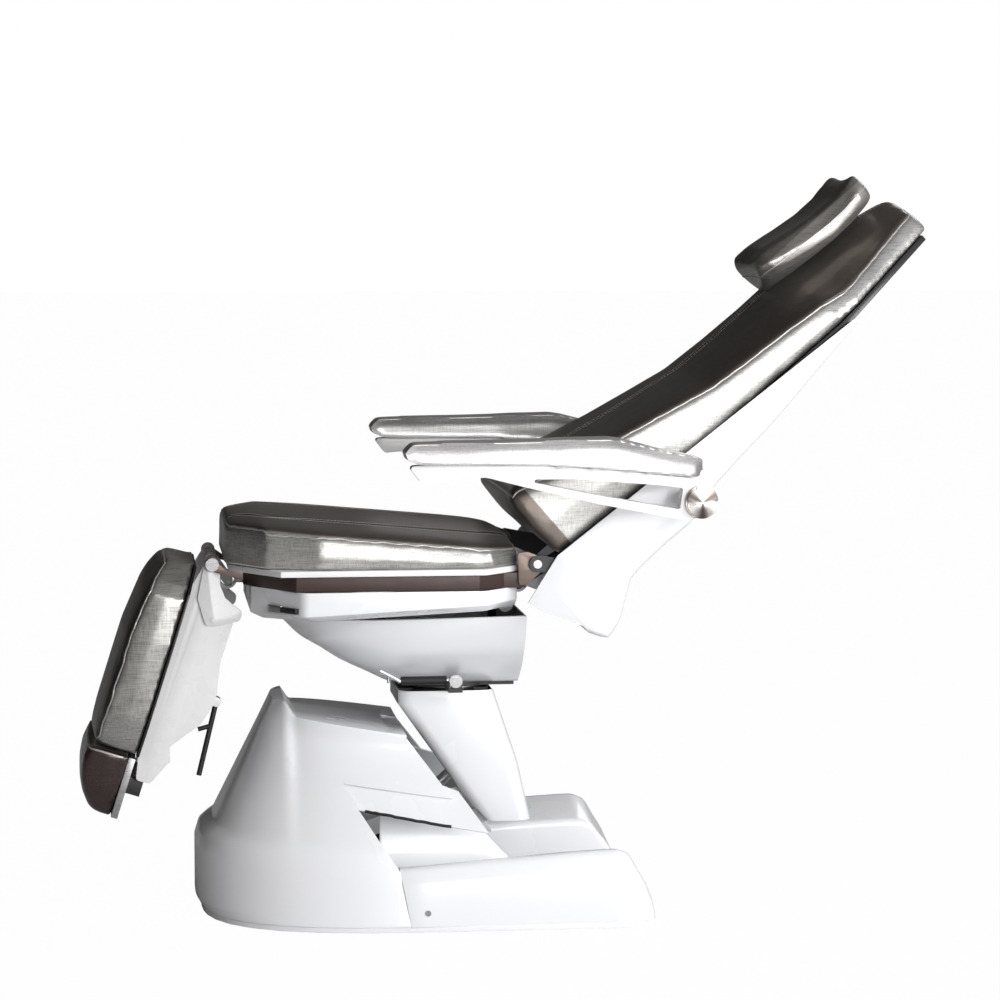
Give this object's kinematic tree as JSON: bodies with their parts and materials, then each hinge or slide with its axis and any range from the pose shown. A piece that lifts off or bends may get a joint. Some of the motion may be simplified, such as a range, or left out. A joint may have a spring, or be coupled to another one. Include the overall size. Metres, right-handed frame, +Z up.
{
  "type": "podiatry chair",
  "caption": "Podiatry treatment chair on an arm-lifted swivel column, with tilting seat, reclining back, sliding head pillow, swing-up armrests and a hinged, extending legrest.",
  "frame": {"origin": "on the floor under the middle of the bounding box", "axes": "+X from the foot end to the head end, +Y to the right of a sitting person, +Z up"},
  "size_m": [1.4592, 0.796, 1.2621],
  "materials": {
    "white_cover": "gloss",
    "dark_steel": "satin",
    "white_steel": "gloss",
    "bronze_steel": "satin",
    "satin_steel": "brushed",
    "knob_chrome": "polished",
    "knob_metal": "turned",
    "black_plastic": "matte",
    "black_rubber": "matte",
    "silver_leather": "pearl",
    "taupe_leather": "pearl",
    "brown_leather": "gloss",
    "white_board": "painted",
    "black_board": "painted"
  },
  "bodies": {
    "base": {"base_frame": "dark_steel", "base_plinth": "white_cover", "front_hood": "white_cover", "side_shroud_left": "white_cover", "side_shroud_right": "white_cover", "rear_deck_cover": "white_cover", "cover_screws": "satin_steel", "levelling_feet": "black_rubber", "base_pivot_pins": "satin_steel", "control_box": "black_plastic", "mains_inlet": "black_plastic"},
    "lower_arm": {"lower_lift_arm": "dark_steel"},
    "upper_arm": {"upper_lift_arm": "dark_steel"},
    "lift_tube": {"lift_actuator_tube": "black_plastic"},
    "lift_rod": {"lift_actuator_rod": "satin_steel"},
    "column": {"column_frame": "dark_steel", "column_cover": "white_cover", "column_pivot_pins": "satin_steel", "swivel_bearing_ring": "satin_steel"},
    "head": {"swivel_plate": "dark_steel", "bowl_cover": "white_cover", "tilt_pins": "satin_steel"},
    "lever": {"swivel_lever": "satin_steel", "swivel_lever_grip": "black_rubber", "swivel_lever_knob": "knob_chrome"},
    "tilt_tube": {"tilt_actuator_tube": "black_plastic"},
    "tilt_rod": {"tilt_actuator_rod": "satin_steel"},
    "seat": {"seat_frame": "bronze_steel", "seat_tray": "white_cover", "seat_board": "white_board", "seat_cushion": "silver_leather", "leg_hinge_ears": "bronze_steel", "leg_hinge_pins": "satin_steel", "back_hinge_brackets": "bronze_steel", "back_hinge_pins": "satin_steel"},
    "latch": {"latch_lever": "satin_steel", "latch_grip": "black_rubber"},
    "back": {"back_frame": "dark_steel", "back_board": "black_board", "back_cushion": "silver_leather", "back_shell": "white_cover", "armrest_shaft": "satin_steel"},
    "back_tube": {"back_actuator_tube": "black_plastic"},
    "back_rod": {"back_actuator_rod": "satin_steel"},
    "arm_left": {"armrest_frame_left": "white_steel", "armrest_pad_left": "silver_leather"},
    "arm_right": {"armrest_frame_right": "white_steel", "armrest_pad_right": "silver_leather"},
    "knob_left": {"armrest_knob_left": "knob_metal"},
    "knob_right": {"armrest_knob_right": "knob_metal"},
    "headrest": {"headrest_pillow": "taupe_leather"},
    "leg": {"leg_carrier": "white_steel", "leg_link_plates": "white_steel", "leg_board": "black_board", "leg_cushion": "silver_leather"},
    "gas_tube": {"gas_spring_tube": "black_plastic"},
    "gas_rod": {"gas_spring_rod": "satin_steel"},
    "foot": {"foot_slide": "satin_steel", "foot_cushion": "brown_leather"},
    "release": {"release_handle": "black_rubber"}
  },
  "joints": [
    {"name": "lift", "type": "hinge", "parent": "base", "child": "lower_arm", "pos_m": [-0.31546, 0, 0.05913], "axis": [0, -1, 0], "range_deg": [-9, 30]},
    {"name": "upper_arm_turn", "type": "hinge", "parent": "base", "child": "upper_arm", "pos_m": [-0.31546, 0, 0.10913], "axis": [0, -1, 0], "range_deg": [-9, 30]},
    {"name": "column_level", "type": "hinge", "parent": "lower_arm", "child": "column", "pos_m": [-0.00536, 0, 0.172], "axis": [0, -1, 0], "range_deg": [-30, 9]},
    {"name": "lift_tube_turn", "type": "hinge", "parent": "base", "child": "lift_tube", "pos_m": [-0.29746, 0, 0.04113], "axis": [0, -1, 0], "range_deg": [-7.9, 26.2]},
    {"name": "lift_rod_slide", "type": "slide", "parent": "lift_tube", "child": "lift_rod", "axis": [0.7496, 0, 0.6619], "range_m": [-0.0181, 0.0601]},
    {"name": "swivel", "type": "hinge", "parent": "column", "child": "head", "pos_m": [-0.09736, 0, 0.386], "axis": [0, 0, 1], "range_deg": [-120, 120]},
    {"name": "swivel_lever_turn", "type": "hinge", "parent": "head", "child": "lever", "pos_m": [-0.09736, -0.15, 0.406], "axis": [0, 0, 1], "range_deg": [0, 35]},
    {"name": "tilt", "type": "hinge", "parent": "head", "child": "seat", "pos_m": [-0.00236, 0, 0.525], "axis": [0, 1, 0], "range_deg": [0, 12]},
    {"name": "tilt_tube_turn", "type": "hinge", "parent": "head", "child": "tilt_tube", "pos_m": [-0.15736, 0, 0.425], "axis": [0, 1, 0], "range_deg": [0, 13.3]},
    {"name": "tilt_rod_slide", "type": "slide", "parent": "tilt_tube", "child": "tilt_rod", "axis": [-0.7044, 0, 0.7098], "range_m": [0, 0.0384]},
    {"name": "latch_turn", "type": "hinge", "parent": "seat", "child": "latch", "pos_m": [-0.40792, -0.2154, 0.541], "axis": [0.8256, 0.5642, 0], "range_deg": [0, 25]},
    {"name": "back_turn", "type": "hinge", "parent": "seat", "child": "back", "pos_m": [0.03064, 0, 0.612], "axis": [0, -1, 0], "range_deg": [-35, 30]},
    {"name": "back_tube_turn", "type": "hinge", "parent": "seat", "child": "back_tube", "pos_m": [-0.21736, 0, 0.56], "axis": [0, -1, 0], "range_deg": [-0.7, 0.8]},
    {"name": "back_rod_slide", "type": "slide", "parent": "back_tube", "child": "back_rod", "axis": [0.9999, 0, -0.0117], "range_m": [-0.0322, 0.0276]},
    {"name": "arm_left_turn", "type": "hinge", "parent": "back", "child": "arm_left", "pos_m": [0.28335, -0.36, 0.72369], "axis": [0, 1, 0], "range_deg": [0, 90]},
    {"name": "arm_right_turn", "type": "hinge", "parent": "back", "child": "arm_right", "pos_m": [0.28335, 0.36, 0.72369], "axis": [0, 1, 0], "range_deg": [0, 90]},
    {"name": "knob_left_turn", "type": "hinge", "parent": "back", "child": "knob_left", "pos_m": [0.28335, -0.38, 0.72369], "axis": [0, -1, 0], "range_deg": [0, 180]},
    {"name": "knob_right_turn", "type": "hinge", "parent": "back", "child": "knob_right", "pos_m": [0.28335, 0.38, 0.72369], "axis": [0, 1, 0], "range_deg": [0, 180]},
    {"name": "headrest_slide", "type": "slide", "parent": "back", "child": "headrest", "axis": [0.7547, 0, 0.6561], "range_m": [-0.04, 0.04]},
    {"name": "leg_turn", "type": "hinge", "parent": "seat", "child": "leg", "pos_m": [-0.50536, 0, 0.606], "axis": [0, 1, 0], "range_deg": [0, 70]},
    {"name": "gas_tube_turn", "type": "hinge", "parent": "seat", "child": "gas_tube", "pos_m": [-0.26736, 0.06, 0.556], "axis": [0, 1, 0], "range_deg": [-1.9, 0]},
    {"name": "gas_rod_slide", "type": "slide", "parent": "gas_tube", "child": "gas_rod", "axis": [-0.9997, 0, 0.024], "range_m": [0, 0.0624]},
    {"name": "foot_slide_out", "type": "slide", "parent": "leg", "child": "foot", "axis": [-0.3024, 0, -0.9532], "range_m": [0, 0.1]},
    {"name": "release_turn", "type": "hinge", "parent": "leg", "child": "release", "pos_m": [-0.49839, -0.08, 0.36669], "axis": [0, 1, 0], "range_deg": [0, 18]}
  ],
  "couplings": [
    {"joint": "upper_arm_turn", "follows": "lift", "ratio": 1},
    {"joint": "column_level", "follows": "lift", "ratio": -1},
    {"joint": "lift_tube_turn", "follows": "lift", "ratio": 0.872},
    {"joint": "lift_rod_slide", "follows": "lift", "m_per_rad": 0.11452},
    {"joint": "tilt_tube_turn", "follows": "tilt", "ratio": 1.103},
    {"joint": "tilt_rod_slide", "follows": "tilt", "m_per_rad": 0.18237},
    {"joint": "back_tube_turn", "follows": "back_turn", "ratio": -0.02235},
    {"joint": "back_rod_slide", "follows": "back_turn", "m_per_rad": 0.052525},
    {"joint": "gas_tube_turn", "follows": "leg_turn", "ratio": -0.02626},
    {"joint": "gas_rod_slide", "follows": "leg_turn", "m_per_rad": 0.050974}
  ]
}
